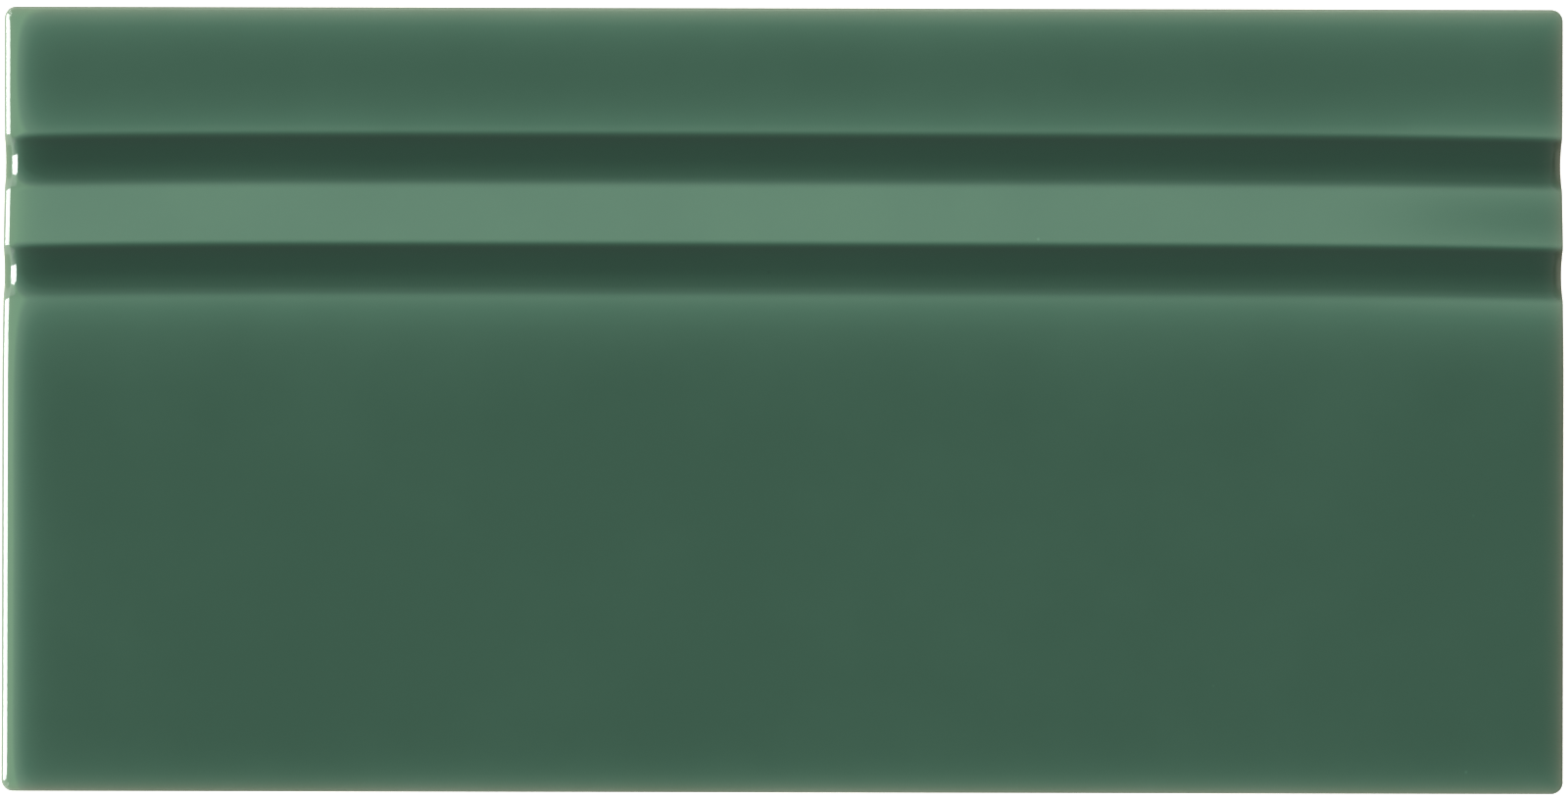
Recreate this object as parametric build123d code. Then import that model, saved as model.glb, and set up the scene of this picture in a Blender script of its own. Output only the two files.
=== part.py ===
# A glazed skirting tile: one fired piece, lying face up, its moulded top edge towards +Y.
# The back lies on z = 0, the length runs along X, and the origin is under the middle of the tile.
import os
from math import atan, cos, sin

from build123d import *

# Overall size of the fired tile
tile_length = 199.0
tile_height = 100.0
field_thickness = 12.0

# Face edge, its plan corners and the chamfer round the back
edge_radius = 1.0
corner_extra = 0.5
back_chamfer = 0.6

# Low pillow along the top edge and the foot, where the flat face rolls down before its edge
pillow_width = 5.0
pillow_drop = 0.25

# Top band, from the top edge down to the first cove
top_band_width = 15.9
top_band_thickness = 10.3
shoulder_width = 5.6
shoulder_drop = 0.4

# The two coves, the bead between them, and the lips where they meet the flats
cove_width = 6.5
cove_depth = 1.6
bead_width = 7.5
bead_rise = 1.2
lip_extra = 0.25

# Field shoulder, which rolls up from the lower cove to the flat field
roll_width = 12.5
roll_drop = 1.0

# Keyed back: parallel channels that take the adhesive
key_width = 6.0
key_pitch = 11.0
key_depth = 0.8
key_corner = 1.5
key_draft = 30.0
key_rim = 8.0

foot = -tile_height / 2
top = tile_height / 2
corner_radius = edge_radius + corner_extra
lip_radius = edge_radius + lip_extra

# Levels across the face, from the top edge to the field
shoulder_end = top - top_band_width
upper_cove_end = shoulder_end - cove_width
bead_end = upper_cove_end - bead_width
lower_cove_end = bead_end - cove_width
lower_lip_level = field_thickness - roll_drop
bead_low_level = top_band_thickness - shoulder_drop
bead_high_level = bead_low_level + bead_rise


def roll_point(start, end, share):
    # A point on the arc that leaves start level and ends at end; share runs from 0 to 1.
    width = end[0] - start[0]
    drop = start[1] - end[1]
    turn = 2 * atan(abs(drop / width))
    radius = abs(width) / sin(turn)
    angle = turn * share
    side = 1 if width > 0 else -1
    return (start[0] + side * radius * sin(angle), start[1] - radius * (1 - cos(angle)))


def roll(start, end):
    # The arc of a shoulder or pillow, level at start.
    return ThreePointArc(start, roll_point(start, end, 0.5), end)


def cove(start, end):
    # A hollow struck as one arc, its depth taken square to the line across its lips.
    across = Vector(end[0] - start[0], end[1] - start[1])
    inward = Vector(across.Y, -across.X).normalized() * cove_depth
    if inward.Y > 0:
        inward = inward * -1
    middle = ((start[0] + end[0]) / 2 + inward.X, (start[1] + end[1]) / 2 + inward.Y)
    return ThreePointArc(start, middle, end)


def stands_upright(face):
    # Whether a face is one of the tile's sides or plan corners: its normal is square to Z.
    return Axis(face.center(), face.normal_at()).is_normal(Axis.Z)


def face_section():
    # The section across the tile at its left end: height along the first axis, thickness along the second.
    foot_lip = (foot, field_thickness - pillow_drop)
    foot_flat = (foot + pillow_width, field_thickness)
    roll_start = (lower_cove_end - roll_width, field_thickness)
    lower_lip = (lower_cove_end, lower_lip_level)
    bead_high = (bead_end, bead_high_level)
    bead_low = (upper_cove_end, bead_low_level)
    shoulder_lip = (shoulder_end, top_band_thickness - shoulder_drop)
    shoulder_flat = (shoulder_end + shoulder_width, top_band_thickness)
    top_flat = (top - pillow_width, top_band_thickness)
    top_lip = (top, top_band_thickness - pillow_drop)
    with BuildSketch(Plane.YZ.offset(-tile_length / 2)) as section:
        with BuildLine():
            Line((foot, 0), foot_lip)
            roll(foot_flat, foot_lip)
            Line(foot_flat, roll_start)
            roll(roll_start, lower_lip)
            cove(lower_lip, bead_high)
            Line(bead_high, bead_low)
            cove(bead_low, shoulder_lip)
            roll(shoulder_flat, shoulder_lip)
            Line(shoulder_flat, top_flat)
            roll(top_flat, top_lip)
            Line(top_lip, (top, 0))
            Line((top, 0), (foot, 0))
        make_face()
        lips = section.vertices().filter_by_position(
            Axis.X, lower_cove_end - lip_radius, shoulder_end + lip_radius)
        fillet(lips, lip_radius)
    return section.sketch


def pressed_body():
    # The pressed tile: the section along the length, plan corners and face edge rounded.
    with BuildPart() as body:
        extrude(face_section(), amount=tile_length, dir=(1, 0, 0))
        fillet(body.edges().filter_by(Axis.Z), corner_radius)
        sides = body.faces().filter_by(stands_upright)
        upper = sides.edges().filter_by(lambda edge: edge.bounding_box().min.Z > top_band_thickness / 2)
        fillet(upper, edge_radius)
        chamfer(body.faces().sort_by(Axis.Z)[0].edges(), back_chamfer)
    return body.part


def key_centres():
    # The places of the channels across the back, evenly about the middle.
    room = tile_height - 2 * key_rim - key_width
    count = int(room // key_pitch) + 1
    return [(index - (count - 1) / 2) * key_pitch for index in range(count)]


def keyed_back(body):
    # The channels pressed into the back, closed at both ends and drafted so that they leave the die.
    with BuildPart() as tile:
        add(body)
        with BuildSketch(Plane.XY):
            with Locations(*[(0, place) for place in key_centres()]):
                RectangleRounded(tile_length - 2 * key_rim, key_width, key_corner)
        extrude(amount=key_depth, taper=key_draft, mode=Mode.SUBTRACT)
    return tile.part


os.makedirs("parts", exist_ok=True)
skirting_tile = keyed_back(pressed_body())
print("volume mm3", round(skirting_tile.volume), "channels", len(key_centres()))
export_step(skirting_tile, "parts/skirting_tile.step")
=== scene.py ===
from math import cos, exp, pi, radians, sqrt

import bpy
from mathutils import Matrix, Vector


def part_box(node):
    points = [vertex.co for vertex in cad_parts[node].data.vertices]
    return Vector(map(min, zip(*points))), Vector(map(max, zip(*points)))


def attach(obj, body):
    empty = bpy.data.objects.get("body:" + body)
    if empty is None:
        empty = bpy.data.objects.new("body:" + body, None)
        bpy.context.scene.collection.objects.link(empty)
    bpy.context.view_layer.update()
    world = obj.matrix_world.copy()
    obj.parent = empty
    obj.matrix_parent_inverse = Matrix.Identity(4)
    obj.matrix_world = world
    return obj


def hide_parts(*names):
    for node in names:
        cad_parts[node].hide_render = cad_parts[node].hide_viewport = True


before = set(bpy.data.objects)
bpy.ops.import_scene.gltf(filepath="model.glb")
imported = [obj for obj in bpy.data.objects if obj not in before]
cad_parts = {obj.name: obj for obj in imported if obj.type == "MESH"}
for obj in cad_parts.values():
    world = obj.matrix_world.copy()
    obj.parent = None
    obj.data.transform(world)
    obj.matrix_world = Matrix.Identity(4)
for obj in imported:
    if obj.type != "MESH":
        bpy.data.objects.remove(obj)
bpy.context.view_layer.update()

mm = 0.001
tileLow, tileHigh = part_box("skirting_tile")
tileLength = (tileHigh.x - tileLow.x) / mm
tileHeight = (tileHigh.y - tileLow.y) / mm
fieldThickness = tileHigh.z / mm
print(f"frame loaded: tile {tileLength:.1f} x {tileHeight:.1f} x {fieldThickness:.1f} mm")


def linear(hexColour):
    # sRGB hex to the linear colour that a socket takes
    parts = [int(hexColour[i:i + 2], 16) / 255 for i in (1, 3, 5)]
    return [p / 12.92 if p <= 0.04045 else ((p + 0.055) / 1.055) ** 2.4 for p in parts] + [1.0]


def addNode(tree, kind, settings=None, inputs=None):
    # one node with its settings; an input is a value, or an output to link from
    node = tree.nodes.new(kind)
    for name, value in (settings or {}).items():
        setattr(node, name, value)
    for name, value in (inputs or {}).items():
        if isinstance(value, bpy.types.NodeSocket):
            tree.links.new(value, node.inputs[name])
        else:
            node.inputs[name].default_value = value
    return node


# The section across the face, in mm, from the foot at -Y to the moulded edge at +Y

section = {
    "topBandWidth": 15.9,       # moulded edge to the upper cove
    "topBandDrop": 1.7,         # how far the top band lies below the field
    "shoulderWidth": 5.6,       # the top band's roll down to its lip
    "shoulderDrop": 0.4,
    "coveWidth": 6.5,
    "coveDepth": 1.6,
    "beadWidth": 7.5,
    "beadRise": 1.2,            # the bead leans up towards the field
    "rollWidth": 12.5,          # the field's roll down to its lip
    "rollDrop": 1.0,
    "lipSoftness": 0.75,        # half the width over which glaze rounds a lip
    "lineStep": 0.2,            # mesh lines across the moulding
    "fineReach": 1.5,           # how far past the outer lips these stay as close
    "rollStep": 1.0,            # mesh lines across the rolls
}

foot, top = -tileHeight / 2, tileHeight / 2
shoulderEnd = top - section["topBandWidth"]
upperCoveEnd = shoulderEnd - section["coveWidth"]
beadEnd = upperCoveEnd - section["beadWidth"]
lowerCoveEnd = beadEnd - section["coveWidth"]
bandLevel = fieldThickness - section["topBandDrop"]
lipLevel = bandLevel - section["shoulderDrop"]


def coveLevel(share, startLevel, endLevel):
    # one arc between two lips; share runs from 0 to 1 across it
    half, depth = section["coveWidth"] / 2, section["coveDepth"]
    radius = (half ** 2 + depth ** 2) / (2 * depth)
    hollow = sqrt(radius ** 2 - (half * (2 * share - 1)) ** 2) - (radius - depth)
    return startLevel + (endLevel - startLevel) * share - hollow


def sharpLevel(y):
    # the face before the glaze softens its lips
    if y >= shoulderEnd:
        share = max(0.0, 1 - (y - shoulderEnd) / section["shoulderWidth"])
        return bandLevel - section["shoulderDrop"] * share ** 2
    if y >= upperCoveEnd:
        return coveLevel((y - upperCoveEnd) / section["coveWidth"], lipLevel, lipLevel)
    if y >= beadEnd:
        return lipLevel + section["beadRise"] * (upperCoveEnd - y) / section["beadWidth"]
    if y >= lowerCoveEnd:
        share = (y - lowerCoveEnd) / section["coveWidth"]
        fieldLip = fieldThickness - section["rollDrop"]
        return coveLevel(share, fieldLip, lipLevel + section["beadRise"])
    share = max(0.0, 1 - (lowerCoveEnd - y) / section["rollWidth"])
    return fieldThickness - section["rollDrop"] * share ** 2


def softened(rule, y, reach, taps=12):
    # a rule averaged over reach on each side, weighted towards its middle
    weights = [1 + cos(pi * k / taps) for k in range(-taps + 1, taps)]
    places = [y + reach * k / taps for k in range(-taps + 1, taps)]
    return sum(w * rule(p) for w, p in zip(weights, places)) / sum(weights)


# Glaze thins where it runs off a lip or an edge and pools in the coves; the same numbers carry
# painted shade in the coves, painted light on the bead, lips and edges, and painted light and shade
# at the ends: 0 is the darkest pooling, 1 the lightest thinning

glazeRunAndShade = {
    "field": 0.35,
    "bead": 0.86,
    "beadOver": 0.35,           # mm above the bead's lip where its thinner, painted-lighter tone starts
    "topEdge": (0.62, 2.6),     # how much thinner and painted lighter at the edge, and over how many mm it fades
    "footEdge": (0.3, 2.2),
    "shoulderLip": (0.4, 3.0),
    "fieldLip": (0.4, 4.0),
    "coveRise": (0.45, 0.66, 1.65),  # share of a cove kept dark by pooling and painted shade, how light its lower wall ends with painted light, how fast
    "blur": 0.75,
    "leftEnd": 1.75,            # painted light: how much lighter the left end is made, then its bead and its coves
    "leftOnBead": 0.45,
    "leftInCove": 1.9,
    "rightOnBead": -0.2,        # painted shade along the middle of the bead at the right end
    "rightOnLips": 0.14,        # and painted light on the lips
}


# the section's tone: glaze thinning and pooling, with painted shade in the coves and painted light
# on the bead, lips and edges
def sharpThinnessAndShade(y):
    level = glazeRunAndShade["field"]
    if y >= shoulderEnd:
        gain, fade = glazeRunAndShade["topEdge"]
        lipGain, lipFade = glazeRunAndShade["shoulderLip"]
        atEdge = gain * exp(-max(0.0, top - y) / fade)
        return level + atEdge + lipGain * exp(-(y - shoulderEnd) / lipFade)
    if upperCoveEnd + glazeRunAndShade["beadOver"] >= y >= beadEnd:
        return glazeRunAndShade["bead"]
    if y >= lowerCoveEnd:
        nearLip = upperCoveEnd if y > upperCoveEnd else lowerCoveEnd
        share = 1 - (y - nearLip) / section["coveWidth"]
        start, gain, power = glazeRunAndShade["coveRise"]
        return gain * max(0.0, (share - start) / (1 - start)) ** power
    gain, fade = glazeRunAndShade["fieldLip"]
    footGain, footFade = glazeRunAndShade["footEdge"]
    atLip = gain * exp(-(lowerCoveEnd - y) / fade)
    return level + atLip + footGain * exp(-max(0.0, y - foot) / footFade)


def hump(share):
    # 0 at both ends of a width, 1 in its middle
    return max(0.0, 1 - (2 * share - 1) ** 2)


def coveHump(y):
    # 1 in the middle of a cove, 0 on the flats and the bead
    return max(hump((y - start) / section["coveWidth"]) for start in (lowerCoveEnd, upperCoveEnd))


# painted light at the left end, where the low light from the left falls
def leftPaintedLight(y):
    if upperCoveEnd >= y >= beadEnd:
        return glazeRunAndShade["leftOnBead"]
    return glazeRunAndShade["leftInCove"] if shoulderEnd >= y >= lowerCoveEnd else glazeRunAndShade["leftEnd"]


# painted shade along the bead's middle and painted light on the lips at the right end
def rightPaintedShading(y):
    if upperCoveEnd >= y >= beadEnd:
        return glazeRunAndShade["rightOnBead"] * hump((y - beadEnd) / section["beadWidth"])
    fromLip = y - shoulderEnd if y >= shoulderEnd else lowerCoveEnd - y
    if fromLip < 0:
        return 0.0
    return glazeRunAndShade["rightOnLips"] * exp(-fromLip / glazeRunAndShade["shoulderLip"][1])


# How the face ends at all four edges, and how the back is keyed, in mm

edges = {
    "round": 0.9,               # radius at the foot, the top edge and the right end
    "coveRound": 0.45,          # and where a cove runs out at the right end
    "step": (0.4, 1.6, 0.75),   # soft step in the end of a cove there: from, to and how deep
    "leftRound": 0.3,           # the left end is bevelled, with a small round below
    "leftCoveRound": 0.12,
    "bevel": (-0.2, 0.92, 0.8, 0.05),     # its outer and inner bend, its slope, half their easing
    "coveBevel": (0.8, 1.68, 0.9, 0.06),  # the same where a cove runs out
    "cushionDrop": 0.35,        # melted slope that falls off towards the edge
    "cushionFade": 1.3,
    "planCorner": 1.5,
    "backRound": 0.6,
    "wallLip": 0.25,            # a mesh line this far down keeps the walls from shading the rounds
    "bareFade": 0.7,            # how far in the clay still shows through the glaze
    "lines": 44,                # mesh lines near an edge, closest where the surface turns most
    "reach": 7.0,               # and how far in they go
    "flatStep": 9.0,            # mesh lines over the flat field
    "closest": 0.012,           # lines nearer to each other than this are one
    "merge": 0.002,             # and so are points where the face's walls meet the back
    "sharpTurn": 0.6,           # radians between two faces, past which their edge is kept crisp
}

keys = {
    "width": 6.0,
    "pitch": 11.0,
    "depth": 0.8,
    "rim": 8.0,                 # plain back around the channels
    "draftRun": 0.46,           # how far in a channel's sloping wall runs
}


def edgeDistances():
    # how far in from an edge the mesh lines lie
    return [edges["reach"] * (k / edges["lines"]) ** 2 for k in range(edges["lines"] + 1)]


def roundDrop(distanceIn, radius):
    # height lost to a quarter round
    share = max(0.0, 1 - distanceIn / radius)
    return radius * (1 - sqrt(1 - share ** 2))


def stepDrop(distanceIn, near, far, depth):
    share = min(1.0, max(0.0, (far - distanceIn) / (far - near)))
    return depth * share * share * (3 - 2 * share)


def bevelDrop(distanceIn, near, far, slope, ease):
    # height lost to a bevel between two distances, eased where it starts and ends
    def eased(past):
        return max(past, 0.0) if abs(past) >= ease else (past + ease) ** 2 / (4 * ease)
    return slope * (eased(far - distanceIn) - eased(near - distanceIn))


def endDrop(x):
    distanceIn = tileLength / 2 - abs(x)
    if x < 0:
        return roundDrop(distanceIn, edges["leftRound"]) + bevelDrop(distanceIn, *edges["bevel"])
    return roundDrop(distanceIn, edges["round"])


def coveEndDrop(x):
    distanceIn = tileLength / 2 - abs(x)
    if x < 0:
        bevelled = bevelDrop(distanceIn, *edges["coveBevel"])
        return roundDrop(distanceIn, edges["leftCoveRound"]) + bevelled
    return roundDrop(distanceIn, edges["coveRound"]) + stepDrop(distanceIn, *edges["step"])


def evenly(start, end, step):
    # places from start to end, about a step apart
    count = max(1, round((end - start) / step))
    return [start + (end - start) * k / count for k in range(count + 1)]


def tidyLines(places):
    # sorted, with near doubles left out
    kept = []
    for place in sorted(places):
        if not kept or place - kept[-1] > edges["closest"]:
            kept.append(place)
    kept[-1] = max(places)
    return kept


def keyCentres():
    room = tileHeight - 2 * keys["rim"] - keys["width"]
    count = int(room // keys["pitch"]) + 1
    return [(k - (count - 1) / 2) * keys["pitch"] for k in range(count)]


def keyShare(distanceIn):
    # 0 on the rib, 1 on the channel floor, along the drafted wall between them
    return min(1.0, max(0.0, distanceIn / keys["draftRun"]))


def acrossLines():
    rollStart = lowerCoveEnd - section["rollWidth"]
    fineStart = lowerCoveEnd - section["fineReach"]
    fineEnd = shoulderEnd + section["fineReach"]
    places = [foot + d for d in edgeDistances()] + [top - d for d in edgeDistances()]
    places += evenly(foot + edges["reach"], rollStart, edges["flatStep"])
    places += evenly(rollStart, fineStart, section["rollStep"])
    places += evenly(fineStart, fineEnd, section["lineStep"])
    places += evenly(fineEnd, top - edges["reach"], section["rollStep"])
    for centre in keyCentres():
        for side in (-1, 1):
            wall = centre + side * keys["width"] / 2
            places += [wall, wall - side * keys["draftRun"]]
    return tidyLines(places)


def alongLines():
    end = tileLength / 2
    half = edgeDistances() + evenly(edges["reach"], end, edges["flatStep"])
    half += [keys["rim"], keys["rim"] + keys["draftRun"]]
    for near, far, slope, ease in (edges["bevel"], edges["coveBevel"]):
        for bend in (near, far):
            half += evenly(bend - ease, bend + ease, ease / 2)
    half = tidyLines([d for d in half if d >= 0])
    return [d - end for d in half] + [end - d for d in reversed(half[:-1])]


def lineObject(name, points, values):
    # a string of points, given in mm, with a number of each kind on every point
    mesh = bpy.data.meshes.new(name)
    inMetres = [[c * mm for c in p] for p in points]
    mesh.from_pydata(inMetres, [(k, k + 1) for k in range(len(points) - 1)], [])
    for key, numbers in values.items():
        mesh.attributes.new(key, "FLOAT", "POINT").data.foreach_set("value", numbers)
    obj = bpy.data.objects.new(name, mesh)
    bpy.context.scene.collection.objects.link(obj)
    return obj


# The moulding lines lie a little nearer the foot than drawn, and sag further at the two ends, in mm

sag = {
    "middle": 0.22,
    "ends": 0.48,               # how much further at the very ends
    "endFade": 19.0,            # and over how far in that fades
    "above": 9.0,               # whole this far below the top edge
    "below": 14.0,              # gone this far below the lower cove
}


def sagShare(y):
    # whole on the moulding, gone at the top edge and out on the field
    aboveShare = min(1.0, (top - y) / sag["above"])
    belowShare = min(1.0, max(0.0, 1 - (lowerCoveEnd - y) / sag["below"]))
    share = max(0.0, min(aboveShare, belowShare))
    return share * share * (3 - 2 * share)


def sagAlong(x):
    return sag["middle"] + sag["ends"] * exp(-(tileLength / 2 - abs(x)) / sag["endFade"])


def keyedAcross(y):
    # 0 on a rib of the back, 1 on the floor of any channel
    return max(keyShare(keys["width"] / 2 - abs(y - centre)) for centre in keyCentres())


across = acrossLines()
along = alongLines()
sidesIn = [tileHeight / 2 - abs(y) for y in across]
endsIn = [tileLength / 2 - abs(x) for x in along]
sectionLine = lineObject(
    "sectionLine",
    [(0, y, softened(sharpLevel, y, section["lipSoftness"])) for y in across],
    {
        "sideIn": [d * mm for d in sidesIn],
        "sideFall": [exp(-d / edges["cushionFade"]) for d in sidesIn],
        "sideDrop": [roundDrop(d, edges["round"]) * mm for d in sidesIn],
        "cove": [coveHump(y) for y in across],
        "sagShare": [sagShare(y) for y in across],
        # the tone and the two ends' changes carry painted light and shade along with the glaze's
        # thinning
        "thin": [softened(sharpThinnessAndShade, y, glazeRunAndShade["blur"]) for y in across],
        "thinLeft": [softened(leftPaintedLight, y, glazeRunAndShade["blur"]) for y in across],
        "thinRight": [softened(rightPaintedShading, y, glazeRunAndShade["blur"]) for y in across],
        "keyedAcross": [keyedAcross(y) for y in across],
    },
)
lengthLine = lineObject(
    "lengthLine",
    [(x, 0, 0) for x in along],
    {
        "endIn": [d * mm for d in endsIn],
        "endFall": [exp(-d / edges["cushionFade"]) for d in endsIn],
        "endDrop": [endDrop(x) * mm for x in along],
        "coveEndDrop": [coveEndDrop(x) * mm for x in along],
        "sagAlong": [sagAlong(x) * mm for x in along],
        "keyedAlong": [keyShare(d - keys["rim"]) for d in endsIn],
    },
)
print("section drawn:", len(across), "lines across,", len(along), "along")


# Finishes

glaze = {
    # the coves' colour: pooling glaze darkened further with painted shade
    "pooledAndShaded": "#244133",
    # the lightest tone: thinner glaze at the edges, with painted light at the edges and the left
    # end
    "thinnestAndLit": "#6b9175",
    "between": (                # thinness and colour
        (0.35, "#335443"),      # the field
        (0.6, "#466a57"),       # running off a lip or an edge, with painted light there
        (0.86, "#5d806b"),      # the bead, thinner and painted lighter
    ),
    "clayAtEdge": 0.22,         # how much of the clay shows through at the very edge
    "roughness": 0.05,
    "ior": 1.58,
    "mottle": 22.0,             # mm across a cloud of tone
    "mottleFrom": (0.3, 0.7),   # range of the noise that the clouds use
    "mottleGain": 0.02,         # how much thinner or fuller they are
    "wave": 16.0,               # mm across the slow waves of a fired surface
    "waveHeight": 0.06,         # mm
    "peel": 1.6,                # mm across its fine orange peel
    "peelHeight": 0.0025,       # mm
    "speckCell": 11.0,          # mm between possible pinholes
    "speck": (0.132, 0.264),    # mm from a pinhole's middle to where its tone fades, and to its rim
    "speckless": 0.8,           # share of those places with none
    "speckTone": (0.62, 1.35),  # dark or light against the glaze
    "speckSplit": (0.45, 0.55),  # up to here dark, from here light
    "line": 4.2,                # mm up the side where the glaze stops
    "lineWave": 0.8,            # mm up and down
    "lineLength": 9.0,          # mm from wave to wave
    "lineSoft": 0.12,           # mm over which it fades, each way
    "leftFade": 1.45,           # mm over which the left end's painted light fades
    "rightReach": 34.0,         # mm over which the right end's painted light and shade set in
}

biscuit = {
    "pale": "#d9ccb4",
    "warm": "#c9b898",
    "roughness": 0.82,
    "ior": 1.5,
    "grain": 0.45,              # mm; real grain is finer, drawn coarse enough to show
    "grainTone": 0.45,          # how much it tells beside the stains
    "grainHeight": 0.08,        # mm
    "grainStrength": 0.5,
    "stain": 14.0,              # mm across a warmer patch
    "warmUpTo": 0.5,            # sum of grain and stain that is still wholly warm
    "paleFrom": 0.9,            # and that is wholly pale
}


def biscuitLook(tree, position):
    # colour and height of bare fired clay, for the sides below the glaze and for the back
    grain = addNode(tree, "ShaderNodeTexNoise", inputs={
        "Vector": position, "Scale": 1 / (biscuit["grain"] * mm), "Detail": 3.0, "Roughness": 0.6})
    stain = addNode(tree, "ShaderNodeTexNoise", inputs={
        "Vector": position, "Scale": 1 / (biscuit["stain"] * mm), "Detail": 4.0})
    both = addNode(tree, "ShaderNodeMath", {"operation": "MULTIPLY_ADD"}, {
        0: grain.outputs["Fac"], 1: biscuit["grainTone"], 2: stain.outputs["Fac"]})
    ramp = addNode(tree, "ShaderNodeValToRGB", inputs={"Fac": both.outputs[0]})
    warm, pale = ramp.color_ramp.elements
    warm.position = biscuit["warmUpTo"]
    warm.color = linear(biscuit["warm"])
    pale.position = biscuit["paleFrom"]
    pale.color = linear(biscuit["pale"])
    return ramp.outputs["Color"], grain.outputs["Fac"]


def makeBiscuit():
    # unglazed cream earthenware, dust-pressed and fired: dry, matt and faintly grained
    material = bpy.data.materials.new("unglazedCreamBiscuit")
    material.use_nodes = True
    tree = material.node_tree
    shader = tree.nodes["Principled BSDF"]
    place = addNode(tree, "ShaderNodeTexCoord")
    colour, height = biscuitLook(tree, place.outputs["Object"])
    bump = addNode(tree, "ShaderNodeBump", inputs={
        "Height": height, "Strength": biscuit["grainStrength"],
        "Distance": biscuit["grainHeight"] * mm})
    tree.links.new(colour, shader.inputs["Base Color"])
    tree.links.new(bump.outputs["Normal"], shader.inputs["Normal"])
    shader.inputs["Roughness"].default_value = biscuit["roughness"]
    shader.inputs["IOR"].default_value = biscuit["ior"]
    return material


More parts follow.
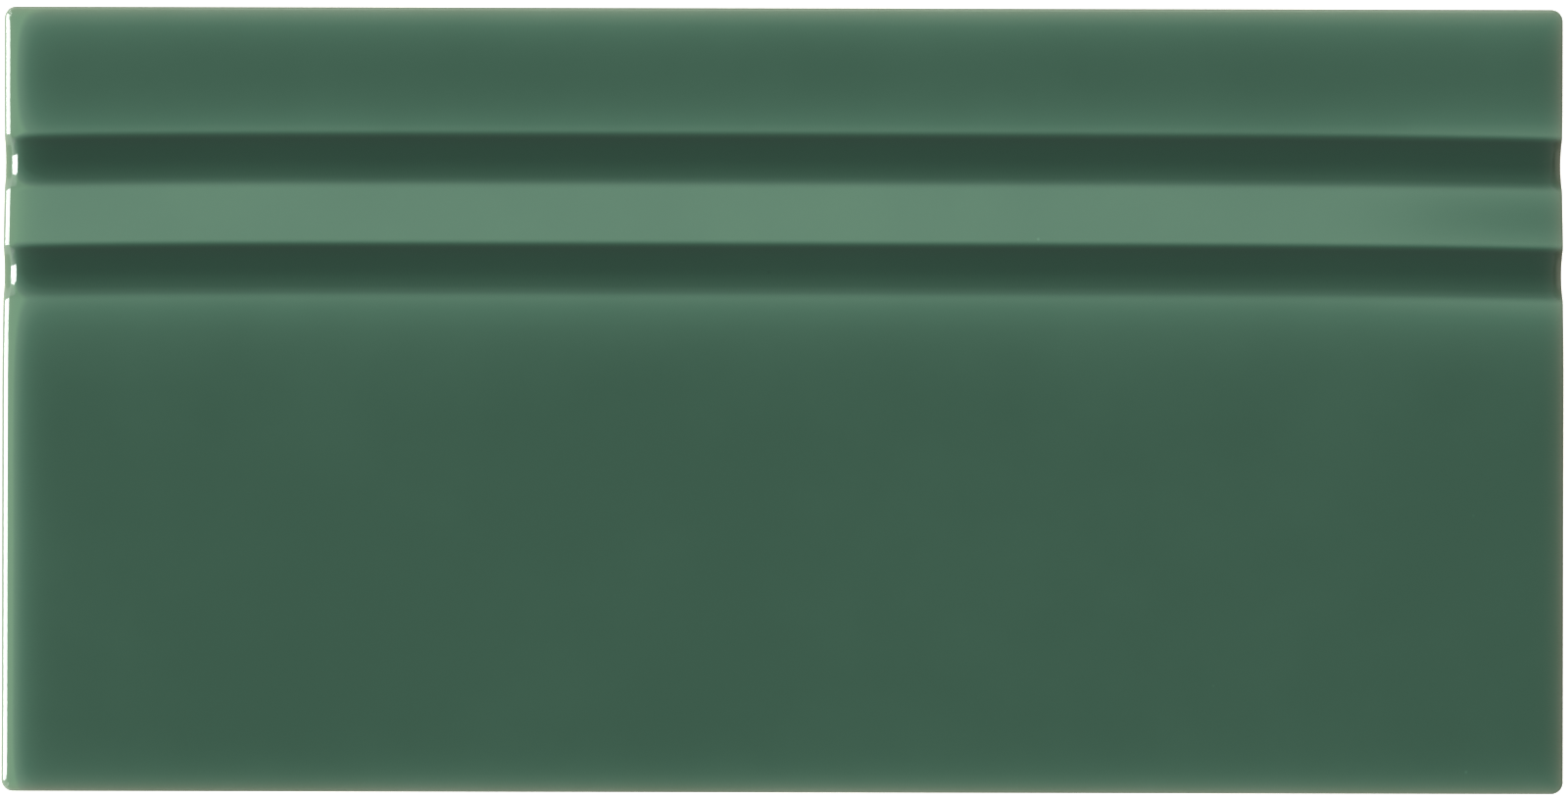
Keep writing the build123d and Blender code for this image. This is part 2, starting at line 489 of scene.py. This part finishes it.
def makeGlaze():
    # glossy translucent green glaze over the biscuit: deep where it pools, pale where it thins,
    # with painted shade in the coves, painted light on the bead and edges, and painted light and
    # shade at the ends
    material = bpy.data.materials.new("glossyGreenGlazeOnEarthenware")
    material.use_nodes = True
    tree = material.node_tree
    shader = tree.nodes["Principled BSDF"]
    place = addNode(tree, "ShaderNodeTexCoord").outputs["Object"]
    axes = addNode(tree, "ShaderNodeSeparateXYZ", inputs={"Vector": place})

    # glaze thinning and painted light: the section's tone with its painted shade and light, the
    # painted light and shade towards the two ends, and a cloudy mottle
    sectionRunAndShade = addNode(tree, "ShaderNodeAttribute", {"attribute_name": "thin"})
    paintedLeftRead = addNode(tree, "ShaderNodeAttribute", {"attribute_name": "thinLeft"})
    paintedRightRead = addNode(tree, "ShaderNodeAttribute", {"attribute_name": "thinRight"})
    fromLeft = addNode(tree, "ShaderNodeMath", {"operation": "ADD"}, {
        0: axes.outputs["X"], 1: tileLength / 2 * mm})
    fall = addNode(tree, "ShaderNodeMath", {"operation": "MULTIPLY"}, {
        0: fromLeft.outputs[0], 1: -1 / (glaze["leftFade"] * mm)})
    nearLeft = addNode(tree, "ShaderNodeMath", {"operation": "EXPONENT"}, {0: fall.outputs[0]})
    nearRight = addNode(tree, "ShaderNodeMapRange", {"interpolation_type": "SMOOTHSTEP"}, {
        "Value": axes.outputs["X"], "From Min": (tileLength / 2 - glaze["rightReach"]) * mm,
        "From Max": tileLength / 2 * mm})
    withLeft = addNode(tree, "ShaderNodeMath", {"operation": "MULTIPLY_ADD"}, {
        0: paintedLeftRead.outputs["Fac"], 1: nearLeft.outputs[0], 2: sectionRunAndShade.outputs["Fac"]})
    runWithPaintedEnds = addNode(tree, "ShaderNodeMath", {"operation": "MULTIPLY_ADD"}, {
        0: paintedRightRead.outputs["Fac"], 1: nearRight.outputs[0], 2: withLeft.outputs[0]})
    cloud = addNode(tree, "ShaderNodeTexNoise", inputs={
        "Vector": place, "Scale": 1 / (glaze["mottle"] * mm), "Detail": 5.0, "Roughness": 0.55})
    cloudy = addNode(tree, "ShaderNodeMapRange", inputs={
        "Value": cloud.outputs["Fac"],
        "From Min": glaze["mottleFrom"][0], "From Max": glaze["mottleFrom"][1],
        "To Min": -glaze["mottleGain"], "To Max": glaze["mottleGain"]})
    thinnessAndShade = addNode(tree, "ShaderNodeMath", {"operation": "ADD"}, {
        0: runWithPaintedEnds.outputs[0], 1: cloudy.outputs[0]})
    ramp = addNode(tree, "ShaderNodeValToRGB", inputs={"Fac": thinnessAndShade.outputs[0]})
    stops = ramp.color_ramp.elements
    stops[0].color = linear(glaze["pooledAndShaded"])
    stops[1].color = linear(glaze["thinnestAndLit"])
    for position, hexColour in glaze["between"]:
        stops.new(position).color = linear(hexColour)

    # pinholes and specks, a few on a whole tile
    cells = addNode(tree, "ShaderNodeTexVoronoi", inputs={
        "Vector": place, "Scale": 1 / (glaze["speckCell"] * mm), "Randomness": 1.0})
    core, rim = (distance / glaze["speckCell"] for distance in glaze["speck"])
    dot = addNode(tree, "ShaderNodeMapRange", inputs={
        "Value": cells.outputs["Distance"], "From Min": core, "From Max": rim,
        "To Min": 1.0, "To Max": 0.0})
    chosen = addNode(tree, "ShaderNodeSeparateColor", inputs={"Color": cells.outputs["Color"]})
    few = addNode(tree, "ShaderNodeMath", {"operation": "GREATER_THAN"}, {
        0: chosen.outputs["Red"], 1: glaze["speckless"]})
    speck = addNode(tree, "ShaderNodeMath", {"operation": "MULTIPLY"}, {
        0: dot.outputs[0], 1: few.outputs[0]})
    tone = addNode(tree, "ShaderNodeMapRange", inputs={
        "Value": chosen.outputs["Green"],
        "From Min": glaze["speckSplit"][0], "From Max": glaze["speckSplit"][1],
        "To Min": glaze["speckTone"][0], "To Max": glaze["speckTone"][1]})
    specked = addNode(tree, "ShaderNodeMix", {"data_type": "RGBA", "blend_type": "MULTIPLY"}, {
        "Factor": speck.outputs[0], "A": ramp.outputs["Color"], "B": tone.outputs[0]})

    # the glaze stops in a wavy line low on the sides, where bare biscuit shows
    middle = glaze["line"] - glaze["lineWave"]
    wave = addNode(tree, "ShaderNodeTexNoise", inputs={
        "Vector": place, "Scale": 1 / (glaze["lineLength"] * mm), "Detail": 2.0})
    waved = addNode(tree, "ShaderNodeMath", {"operation": "MULTIPLY_ADD"}, {
        0: wave.outputs["Fac"], 1: -2 * glaze["lineWave"] * mm, 2: axes.outputs["Z"]})
    covered = addNode(tree, "ShaderNodeMapRange", {"interpolation_type": "SMOOTHSTEP"}, {
        "Value": waved.outputs[0],
        "From Min": (middle - glaze["lineSoft"]) * mm,
        "From Max": (middle + glaze["lineSoft"]) * mm})
    clayColour, clayHeight = biscuitLook(tree, place)
    bared = addNode(tree, "ShaderNodeAttribute", {"attribute_name": "bared"})
    through = addNode(tree, "ShaderNodeMath", {"operation": "MULTIPLY"}, {
        0: bared.outputs["Fac"], 1: glaze["clayAtEdge"]})
    broken = addNode(tree, "ShaderNodeMix", {"data_type": "RGBA"}, {
        "Factor": through.outputs[0], "A": specked.outputs["Result"], "B": clayColour})
    colour = addNode(tree, "ShaderNodeMix", {"data_type": "RGBA"}, {
        "Factor": covered.outputs[0], "A": clayColour, "B": broken.outputs["Result"]})
    rough = addNode(tree, "ShaderNodeMapRange", inputs={
        "Value": covered.outputs[0], "To Min": biscuit["roughness"], "To Max": glaze["roughness"]})

    # slow waves and fine orange peel in the gloss, grain in the clay
    swell = addNode(tree, "ShaderNodeTexNoise", inputs={
        "Vector": place, "Scale": 1 / (glaze["wave"] * mm), "Detail": 1.0})
    peel = addNode(tree, "ShaderNodeTexNoise", inputs={
        "Vector": place, "Scale": 1 / (glaze["peel"] * mm), "Detail": 2.0})
    swellBump = addNode(tree, "ShaderNodeBump", inputs={
        "Height": swell.outputs["Fac"], "Strength": 1.0, "Distance": glaze["waveHeight"] * mm})
    peelBump = addNode(tree, "ShaderNodeBump", inputs={
        "Height": peel.outputs["Fac"], "Strength": 1.0, "Distance": glaze["peelHeight"] * mm,
        "Normal": swellBump.outputs["Normal"]})
    clayAmount = addNode(tree, "ShaderNodeMath", {"operation": "SUBTRACT"}, {
        0: 1.0, 1: covered.outputs[0]})
    clayShare = addNode(tree, "ShaderNodeMath", {"operation": "MULTIPLY"}, {
        0: clayHeight, 1: clayAmount.outputs[0]})
    clayBump = addNode(tree, "ShaderNodeBump", inputs={
        "Height": clayShare.outputs[0], "Strength": biscuit["grainStrength"],
        "Distance": biscuit["grainHeight"] * mm, "Normal": peelBump.outputs["Normal"]})
    tree.links.new(colour.outputs["Result"], shader.inputs["Base Color"])
    tree.links.new(rough.outputs[0], shader.inputs["Roughness"])
    tree.links.new(clayBump.outputs["Normal"], shader.inputs["Normal"])
    shader.inputs["IOR"].default_value = glaze["ior"]
    return material


glazeFinish = makeGlaze()
biscuitFinish = makeBiscuit()
print("finishes made")


# The tile: a grid over section and length, dropped at its edges, with walls and a keyed back

def tileTree():
    tree = bpy.data.node_groups.new("sweptTile", "GeometryNodeTree")
    sockets = (("Section", "Geometry"), ("Length line", "Object"), ("Plan corner", "Float"),
               ("Cushion drop", "Float"), ("Back round", "Float"), ("Key depth", "Float"),
               ("Bare fade", "Float"), ("Wall lip", "Float"),
               ("Glaze", "Material"), ("Biscuit", "Material"))
    for name, kind in sockets:
        tree.interface.new_socket(name, in_out="INPUT", socket_type="NodeSocket" + kind)
    tree.interface.new_socket("Tile", in_out="OUTPUT", socket_type="NodeSocketGeometry")
    given = addNode(tree, "NodeGroupInput").outputs
    result = addNode(tree, "NodeGroupOutput")

    # a grid with a row for each point of the length line and a column for each point of the section
    lengthInfo = addNode(tree, "GeometryNodeObjectInfo", inputs={"Object": given["Length line"]})
    lengthPoints = lengthInfo.outputs["Geometry"]
    rows = addNode(tree, "GeometryNodeAttributeDomainSize", inputs={"Geometry": lengthPoints})
    columns = addNode(tree, "GeometryNodeAttributeDomainSize", inputs={
        "Geometry": given["Section"]})
    columnCount = columns.outputs["Point Count"]
    grid = addNode(tree, "GeometryNodeMeshGrid", inputs={
        "Vertices X": rows.outputs["Point Count"], "Vertices Y": columnCount})
    index = addNode(tree, "GeometryNodeInputIndex")
    row = addNode(tree, "FunctionNodeIntegerMath", {"operation": "DIVIDE_FLOOR"}, {
        0: index.outputs[0], 1: columnCount})
    column = addNode(tree, "FunctionNodeIntegerMath", {"operation": "MODULO"}, {
        0: index.outputs[0], 1: columnCount})

    # what each grid point reads from the two lines
    position = addNode(tree, "GeometryNodeInputPosition")
    place = addNode(tree, "ShaderNodeVectorMath", {"operation": "ADD"})
    lines = ((lengthPoints, row, ("endIn", "endFall", "endDrop", "coveEndDrop",
                                  "sagAlong", "keyedAlong")),
             (given["Section"], column, ("sideIn", "sideFall", "sideDrop", "cove", "sagShare",
                                         "thin", "thinLeft", "thinRight", "keyedAcross")))
    reading = {}
    for slot, (line, where, names) in enumerate(lines):
        linePlace = addNode(tree, "GeometryNodeSampleIndex", {"data_type": "FLOAT_VECTOR"}, {
            "Geometry": line, "Value": position.outputs[0], "Index": where.outputs[0]})
        tree.links.new(linePlace.outputs[0], place.inputs[slot])
        for name in names:
            stored = addNode(tree, "GeometryNodeInputNamedAttribute", {"data_type": "FLOAT"}, {
                "Name": name})
            read = addNode(tree, "GeometryNodeSampleIndex", {"data_type": "FLOAT"}, {
                "Geometry": line, "Value": stored.outputs[0], "Index": where.outputs[0]})
            reading[name] = read.outputs[0]

    # plan corners: the square corner of the grid is drawn in to a quarter round
    inward = addNode(tree, "ShaderNodeCombineXYZ", inputs={
        "X": reading["endIn"], "Y": reading["sideIn"]})
    corner = addNode(tree, "ShaderNodeCombineXYZ", inputs={
        "X": given["Plan corner"], "Y": given["Plan corner"]})
    short = addNode(tree, "ShaderNodeVectorMath", {"operation": "SUBTRACT"}, {
        0: corner.outputs[0], 1: inward.outputs[0]})
    past = addNode(tree, "ShaderNodeVectorMath", {"operation": "MAXIMUM"}, {
        0: short.outputs[0], 1: (0, 0, 0)})
    pastAxes = addNode(tree, "ShaderNodeSeparateXYZ", inputs={0: past.outputs[0]})
    longest = addNode(tree, "ShaderNodeMath", {"operation": "MAXIMUM"}, {
        0: pastAxes.outputs["X"], 1: pastAxes.outputs["Y"]})
    reach = addNode(tree, "ShaderNodeVectorMath", {"operation": "LENGTH"}, {0: past.outputs[0]})
    kept = addNode(tree, "ShaderNodeMath", {"operation": "DIVIDE"}, {
        0: longest.outputs[0], 1: reach.outputs["Value"]})
    drawn = addNode(tree, "ShaderNodeMath", {"operation": "SUBTRACT"}, {0: 1.0, 1: kept.outputs[0]})
    side = addNode(tree, "ShaderNodeVectorMath", {"operation": "SIGN"}, {0: place.outputs[0]})
    pastOut = addNode(tree, "ShaderNodeVectorMath", {"operation": "MULTIPLY"}, {
        0: past.outputs[0], 1: side.outputs[0]})
    shift = addNode(tree, "ShaderNodeVectorMath", {"operation": "SCALE"}, {
        0: pastOut.outputs[0], "Scale": drawn.outputs[0]})
    drawnIn = addNode(tree, "ShaderNodeVectorMath", {"operation": "SUBTRACT"}, {
        0: place.outputs[0], 1: shift.outputs[0]})

    # the sag of the moulding lines
    sagged = addNode(tree, "ShaderNodeMath", {"operation": "MULTIPLY"}, {
        0: reading["sagShare"], 1: reading["sagAlong"]})
    sagShift = addNode(tree, "ShaderNodeCombineXYZ", inputs={"Y": sagged.outputs[0]})
    plan = addNode(tree, "ShaderNodeVectorMath", {"operation": "SUBTRACT"}, {
        0: drawnIn.outputs[0], 1: sagShift.outputs[0]})

    # the height the face loses near an edge; an end has one drop for the flats, one for the coves
    endLost = addNode(tree, "ShaderNodeMix", {"data_type": "FLOAT"}, {
        "Factor": reading["cove"], "A": reading["endDrop"], "B": reading["coveEndDrop"]})
    edgeLost = addNode(tree, "ShaderNodeMath", {"operation": "MAXIMUM"}, {
        0: endLost.outputs["Result"], 1: reading["sideDrop"]})

    # the quarter round of the back
    fromEdge = addNode(tree, "ShaderNodeMath", {"operation": "MINIMUM"}, {
        0: reading["endIn"], 1: reading["sideIn"]})
    backNear = addNode(tree, "ShaderNodeMapRange", inputs={
        "Value": fromEdge.outputs[0], "From Max": given["Back round"],
        "To Min": 1.0, "To Max": 0.0})
    backAngle = addNode(tree, "ShaderNodeMath", {"operation": "ARCSINE"}, {0: backNear.outputs[0]})
    backCosine = addNode(tree, "ShaderNodeMath", {"operation": "COSINE"}, {0: backAngle.outputs[0]})
    backShare = addNode(tree, "ShaderNodeMath", {"operation": "SUBTRACT"}, {
        0: 1.0, 1: backCosine.outputs[0]})
    backLost = addNode(tree, "ShaderNodeMath", {"operation": "MULTIPLY"}, {
        0: backShare.outputs[0], 1: given["Back round"]})

    # the face: its cushion joins smoothly where an end meets the foot or the top edge
    endRest = addNode(tree, "ShaderNodeMath", {"operation": "SUBTRACT"}, {
        0: 1.0, 1: reading["endFall"]})
    cushion = addNode(tree, "ShaderNodeMath", {"operation": "MULTIPLY_ADD"}, {
        0: endRest.outputs[0], 1: reading["sideFall"], 2: reading["endFall"]})
    faceLost = addNode(tree, "ShaderNodeMath", {"operation": "MULTIPLY_ADD"}, {
        0: cushion.outputs[0], 1: given["Cushion drop"], 2: edgeLost.outputs[0]})
    faceShift = addNode(tree, "ShaderNodeCombineXYZ", inputs={"Z": faceLost.outputs[0]})
    facePlace = addNode(tree, "ShaderNodeVectorMath", {"operation": "SUBTRACT"}, {
        0: plan.outputs[0], 1: faceShift.outputs[0]})
    face = addNode(tree, "GeometryNodeSetPosition", inputs={
        "Geometry": grid.outputs["Mesh"], "Position": facePlace.outputs[0]})

    # what the glaze needs to know, painted light and shade included, kept on the face; bared falls
    # as e to minus the distance in
    fadedIn = addNode(tree, "ShaderNodeMath", {"operation": "DIVIDE"}, {
        0: fromEdge.outputs[0], 1: given["Bare fade"]})
    bared = addNode(tree, "ShaderNodeMath", {"operation": "POWER"}, {
        0: exp(-1), 1: fadedIn.outputs[0]})
    for name, value in (("thin", reading["thin"]), ("thinLeft", reading["thinLeft"]),
                        ("thinRight", reading["thinRight"]), ("bared", bared.outputs[0])):
        face = addNode(tree, "GeometryNodeStoreNamedAttribute", {"data_type": "FLOAT"}, {
            "Geometry": face.outputs[0], "Name": name, "Value": value})

    # walls drawn down from its border in two steps
    borders = addNode(tree, "GeometryNodeInputMeshEdgeNeighbors")
    onBorder = addNode(tree, "FunctionNodeCompare", {"data_type": "INT", "operation": "EQUAL"}, {
        "A": borders.outputs["Face Count"], "B": 1})
    wallLip = addNode(tree, "ShaderNodeCombineXYZ", inputs={"Z": given["Wall lip"]})
    lip = addNode(tree, "GeometryNodeExtrudeMesh", {"mode": "EDGES"}, {
        "Mesh": face.outputs[0], "Selection": onBorder.outputs[0], "Offset Scale": 0.0})
    lipDown = addNode(tree, "ShaderNodeVectorMath", {"operation": "SUBTRACT"}, {
        0: position.outputs[0], 1: wallLip.outputs[0]})
    lipped = addNode(tree, "GeometryNodeSetPosition", inputs={
        "Geometry": lip.outputs["Mesh"], "Selection": lip.outputs["Top"],
        "Position": lipDown.outputs[0]})
    walls = addNode(tree, "GeometryNodeExtrudeMesh", {"mode": "EDGES"}, {
        "Mesh": lipped.outputs[0], "Selection": lip.outputs["Top"], "Offset Scale": 0.0})
    wallPlace = addNode(tree, "ShaderNodeSeparateXYZ", inputs={0: position.outputs[0]})
    wallFoot = addNode(tree, "ShaderNodeCombineXYZ", inputs={
        "X": wallPlace.outputs["X"], "Y": wallPlace.outputs["Y"], "Z": given["Back round"]})
    walled = addNode(tree, "GeometryNodeSetPosition", inputs={
        "Geometry": walls.outputs["Mesh"], "Selection": walls.outputs["Top"],
        "Position": wallFoot.outputs[0]})

    # the keyed back, facing down
    keyed = addNode(tree, "ShaderNodeMath", {"operation": "MINIMUM"}, {
        0: reading["keyedAlong"], 1: reading["keyedAcross"]})
    backHeight = addNode(tree, "ShaderNodeMath", {"operation": "MULTIPLY_ADD"}, {
        0: keyed.outputs[0], 1: given["Key depth"], 2: backLost.outputs[0]})
    planAxes = addNode(tree, "ShaderNodeSeparateXYZ", inputs={0: plan.outputs[0]})
    backPlace = addNode(tree, "ShaderNodeCombineXYZ", inputs={
        "X": planAxes.outputs["X"], "Y": planAxes.outputs["Y"], "Z": backHeight.outputs[0]})
    back = addNode(tree, "GeometryNodeSetPosition", inputs={
        "Geometry": grid.outputs["Mesh"], "Position": backPlace.outputs[0]})
    turned = addNode(tree, "GeometryNodeFlipFaces", inputs={"Mesh": back.outputs[0]})
    perFace = {"data_type": "BOOLEAN", "domain": "FACE"}
    marked = addNode(tree, "GeometryNodeStoreNamedAttribute", perFace, {
        "Geometry": turned.outputs[0], "Name": "bare", "Value": True})

    joined = addNode(tree, "GeometryNodeJoinGeometry")
    for part in (walled, marked):
        tree.links.new(part.outputs[0], joined.inputs[0])
    merged = addNode(tree, "GeometryNodeMergeByDistance", inputs={
        "Geometry": joined.outputs[0], "Distance": edges["merge"] * mm})
    angle = addNode(tree, "GeometryNodeInputMeshEdgeAngle")
    isOver = {"data_type": "FLOAT", "operation": "GREATER_THAN"}
    sharp = addNode(tree, "FunctionNodeCompare", isOver, {
        "A": angle.outputs["Unsigned Angle"], "B": edges["sharpTurn"]})
    smooth = addNode(tree, "GeometryNodeSetShadeSmooth", {"domain": "FACE"}, {
        "Geometry": merged.outputs[0]})
    creased = addNode(tree, "GeometryNodeSetShadeSmooth", {"domain": "EDGE"}, {
        "Geometry": smooth.outputs[0], "Selection": sharp.outputs[0], "Shade Smooth": False})
    real = addNode(tree, "GeometryNodeRealizeInstances", inputs={"Geometry": creased.outputs[0]})
    glazed = addNode(tree, "GeometryNodeSetMaterial", inputs={
        "Geometry": real.outputs[0], "Material": given["Glaze"]})
    isBare = addNode(tree, "GeometryNodeInputNamedAttribute", {"data_type": "BOOLEAN"}, {
        "Name": "bare"})
    finished = addNode(tree, "GeometryNodeSetMaterial", inputs={
        "Geometry": glazed.outputs[0], "Selection": isBare.outputs[0],
        "Material": given["Biscuit"]})
    tree.links.new(finished.outputs[0], result.inputs[0])
    return tree


def makeTile():
    # the tree runs on the section line, and its result is kept as a plain mesh
    modifier = sectionLine.modifiers.new("sweptTile", "NODES")
    modifier.node_group = tileTree()
    wanted = {
        "Length line": lengthLine, "Plan corner": edges["planCorner"] * mm,
        "Cushion drop": edges["cushionDrop"] * mm, "Back round": edges["backRound"] * mm,
        "Key depth": keys["depth"] * mm, "Bare fade": edges["bareFade"] * mm,
        "Wall lip": edges["wallLip"] * mm,
        "Glaze": glazeFinish, "Biscuit": biscuitFinish,
    }
    for item in modifier.node_group.interface.items_tree:
        if item.in_out == "INPUT" and item.name in wanted:
            modifier[item.identifier] = wanted[item.name]
    graph = bpy.context.evaluated_depsgraph_get()
    mesh = bpy.data.meshes.new_from_object(sectionLine.evaluated_get(graph))
    sectionLine.modifiers.remove(modifier)
    mesh.name = "glazed_tile"
    tile = bpy.data.objects.new("glazed_tile", mesh)
    bpy.context.scene.collection.objects.link(tile)
    for helper in (sectionLine, lengthLine):
        bpy.data.objects.remove(helper)
    return tile


tile = makeTile()
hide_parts("skirting_tile")
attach(tile, "root")
print("tile made:", len(tile.data.vertices), "points,", len(tile.data.polygons), "faces")


# Floor, light and camera, with places and sizes in metres unless they say mm

studio = {
    "floorSize": 4.0,
    "floorColour": "#f4f4f2",
    "floorRoughness": 0.9,
    "floorGlow": 0.55,
    "horizon": 0.3,             # strength of the white dome low down and overhead
    "zenith": 0.22,
    "domeRise": (0.1, 0.95),    # sines of the heights between which one turns into the other
    "backGlow": 0.8,            # bright low wall beyond the moulded edge
    "backTop": 0.06,            # sine of the height at which it has faded
    "backSides": (0.88, 0.97),  # how near to +Y it starts and is full
    "tableGlow": 1.0,           # white table past the left end, as the gloss mirrors it
    "tableDark": 0.25,          # and a darker one past the right end
    "tableEdge": -0.05,         # sine of the depth at which both are full
    "tableSides": (0.1, 0.5),   # how near to -X or +X they start and are full
    "keyPower": 35.5,           # W, of a square diffuser straight above
    "keySize": 1.6,
    "keyHeight": 1.9,
    "fillPower": 5.0,           # low light from the left
    "fillSize": (0.75, 0.4),
    "fillPlace": (-1.15, 0.12, 0.2),
    "cardPower": 6.0,           # bright strip low past the left end, which only the gloss mirrors
    "cardSize": (0.95, 0.15),
    "cardPlace": (-1.2, 0.2, -0.1),
    "lens": 150.0,              # mm, as the sensor
    "sensor": 36.0,
    "cameraHeight": 843.4,      # mm above the floor; the tile nearly fills the picture
    "cameraAside": 0.16,        # mm
    "cameraTurn": 0.127,        # degrees about the line of sight
}


def makeFloor():
    # matt white sweep, lit from within a little so that it stays white beside the tile
    size = studio["floorSize"] / 2
    mesh = bpy.data.meshes.new("floor")
    corners = [(-size, -size, 0), (size, -size, 0), (size, size, 0), (-size, size, 0)]
    mesh.from_pydata(corners, [], [(0, 1, 2, 3)])
    material = bpy.data.materials.new("mattWhiteAcrylicSweep")
    material.use_nodes = True
    shader = material.node_tree.nodes["Principled BSDF"]
    shader.inputs["Base Color"].default_value = linear(studio["floorColour"])
    shader.inputs["Roughness"].default_value = studio["floorRoughness"]
    shader.inputs["Specular IOR Level"].default_value = 0.0
    shader.inputs["Emission Color"].default_value = (1, 1, 1, 1)
    shader.inputs["Emission Strength"].default_value = studio["floorGlow"]
    mesh.materials.append(material)
    floor = bpy.data.objects.new("floor", mesh)
    bpy.context.scene.collection.objects.link(floor)
    floor.visible_glossy = False


def makeWorld():
    # a white dome, with a bright low wall behind and a table that is white on the left
    # and darker on the right, as the tile's gloss and sides see them
    world = bpy.data.worlds.new("studioDome")
    bpy.context.scene.world = world
    world.use_nodes = True
    tree = world.node_tree
    background = tree.nodes["Background"]
    way = addNode(tree, "ShaderNodeTexCoord").outputs["Generated"]
    axes = addNode(tree, "ShaderNodeSeparateXYZ", inputs={"Vector": way})
    dome = addNode(tree, "ShaderNodeMapRange", inputs={
        "Value": axes.outputs["Z"],
        "From Min": studio["domeRise"][0], "From Max": studio["domeRise"][1],
        "To Min": studio["horizon"], "To Max": studio["zenith"]})
    low = addNode(tree, "ShaderNodeMapRange", {"interpolation_type": "SMOOTHSTEP"}, {
        "Value": axes.outputs["Z"], "From Min": studio["backTop"], "From Max": 0.0,
        "To Min": 0.0, "To Max": studio["backGlow"]})
    towards = addNode(tree, "ShaderNodeMapRange", {"interpolation_type": "SMOOTHSTEP"}, {
        "Value": axes.outputs["Y"],
        "From Min": studio["backSides"][0], "From Max": studio["backSides"][1]})
    glow = addNode(tree, "ShaderNodeMath", {"operation": "MULTIPLY"}, {
        0: low.outputs[0], 1: towards.outputs[0]})
    total = addNode(tree, "ShaderNodeMath", {"operation": "ADD"}, {
        0: dome.outputs[0], 1: glow.outputs[0]})
    starts, full = studio["tableSides"]
    for side, change in ((-1, studio["tableGlow"]), (1, -studio["tableDark"])):
        table = addNode(tree, "ShaderNodeMapRange", inputs={
            "Value": axes.outputs["Z"], "From Min": 0.0, "From Max": studio["tableEdge"],
            "To Min": 0.0, "To Max": change})
        sideways = addNode(tree, "ShaderNodeMapRange", {"interpolation_type": "SMOOTHSTEP"}, {
            "Value": axes.outputs["X"], "From Min": side * starts, "From Max": side * full})
        total = addNode(tree, "ShaderNodeMath", {"operation": "MULTIPLY_ADD"}, {
            0: table.outputs[0], 1: sideways.outputs[0], 2: total.outputs[0]})
    seen = addNode(tree, "ShaderNodeLightPath")
    shown = addNode(tree, "ShaderNodeMix", {"data_type": "FLOAT"}, {
        "Factor": seen.outputs["Is Camera Ray"], "A": total.outputs[0], "B": 1.0})
    tree.links.new(shown.outputs["Result"], background.inputs["Strength"])
    background.inputs["Color"].default_value = (1, 1, 1, 1)


def makeLamp(name, place, aim, size, power):
    lamp = bpy.data.lights.new(name, "AREA")
    lamp.shape = "RECTANGLE"
    lamp.size, lamp.size_y = size
    lamp.energy = power
    obj = bpy.data.objects.new(name, lamp)
    bpy.context.scene.collection.objects.link(obj)
    obj.location = place
    obj.rotation_euler = (Vector(aim) - Vector(place)).to_track_quat("-Z", "Y").to_euler()
    return obj


def makeCamera():
    # straight above, looking down
    data = bpy.data.cameras.new("camera")
    data.lens = studio["lens"]
    data.sensor_width = studio["sensor"]
    camera = bpy.data.objects.new("camera", data)
    bpy.context.scene.collection.objects.link(camera)
    camera.location = (studio["cameraAside"] * mm, 0, studio["cameraHeight"] * mm)
    camera.rotation_euler = (0, 0, radians(studio["cameraTurn"]))
    bpy.context.scene.camera = camera


makeFloor()
makeWorld()
leftEnd = (-tileLength / 2 * mm, 0, fieldThickness * mm)
overhead = (0, 0, studio["keyHeight"])
keySize = (studio["keySize"], studio["keySize"])
key = makeLamp("overheadDiffuser", overhead, (0, 0, 0), keySize, studio["keyPower"])
fill = makeLamp("lowFill", studio["fillPlace"], leftEnd, studio["fillSize"], studio["fillPower"])
card = makeLamp(
    "whiteTableEdge", studio["cardPlace"], leftEnd, studio["cardSize"], studio["cardPower"])
key.visible_glossy = fill.visible_glossy = False
card.visible_diffuse = False
makeCamera()
bpy.context.scene.view_settings.view_transform = "Standard"
print("floor, light and camera made")
